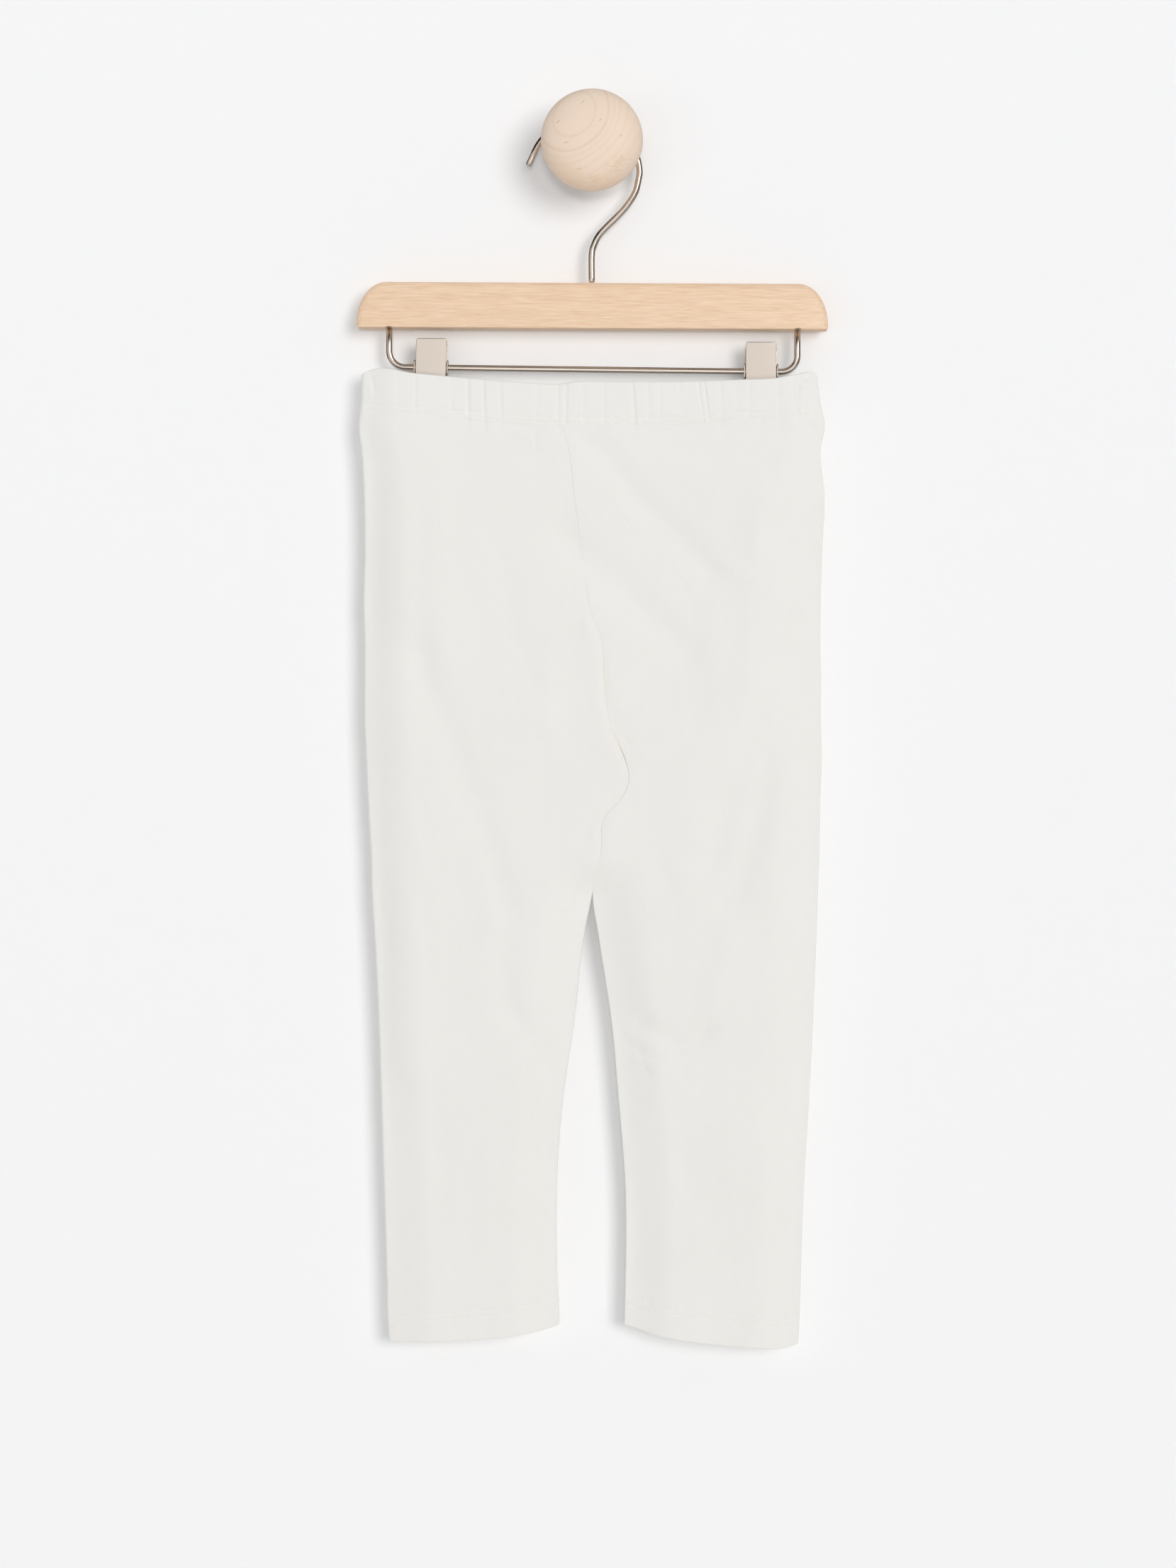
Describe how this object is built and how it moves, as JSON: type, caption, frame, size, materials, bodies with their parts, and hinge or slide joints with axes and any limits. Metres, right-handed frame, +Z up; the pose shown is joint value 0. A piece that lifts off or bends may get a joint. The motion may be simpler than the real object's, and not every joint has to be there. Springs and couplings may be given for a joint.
{
  "type": "leggings on a clip hanger with a wall knob",
  "caption": "Plain ivory jersey leggings with a gathered elastic waistband and turned-up hems, hanging flat from a wooden clip hanger hooked on a round wooden wall knob",
  "frame": {"origin": "centre of the wall knob's back face, on the wall plane that carries the hanger", "axes": "+Z up, +Y into the wall, the front of the leggings faces -Y, so the wearer's right leg is at -X"},
  "size_m": [0.2916, 0.058, 0.7722],
  "materials": {
    "jersey": "matt fine cotton jersey, ivory",
    "knob_wood": "fine sanded pale wood, oiled",
    "bar_wood": "clear satin lacquer on pale wood",
    "nickel": "satin nickel plate, warm"
  },
  "bodies": {
    "root": {"knob_head": "knob_wood", "knob_stem": "knob_wood", "hook": "nickel", "bar": "bar_wood", "rod": "nickel", "clip_right_front": "nickel", "clip_right_back": "nickel", "clip_left_front": "nickel", "clip_left_back": "nickel", "waistband": "jersey", "leg_right": "jersey", "leg_left": "jersey", "hem_right": "jersey", "hem_left": "jersey"}
  },
  "joints": []
}
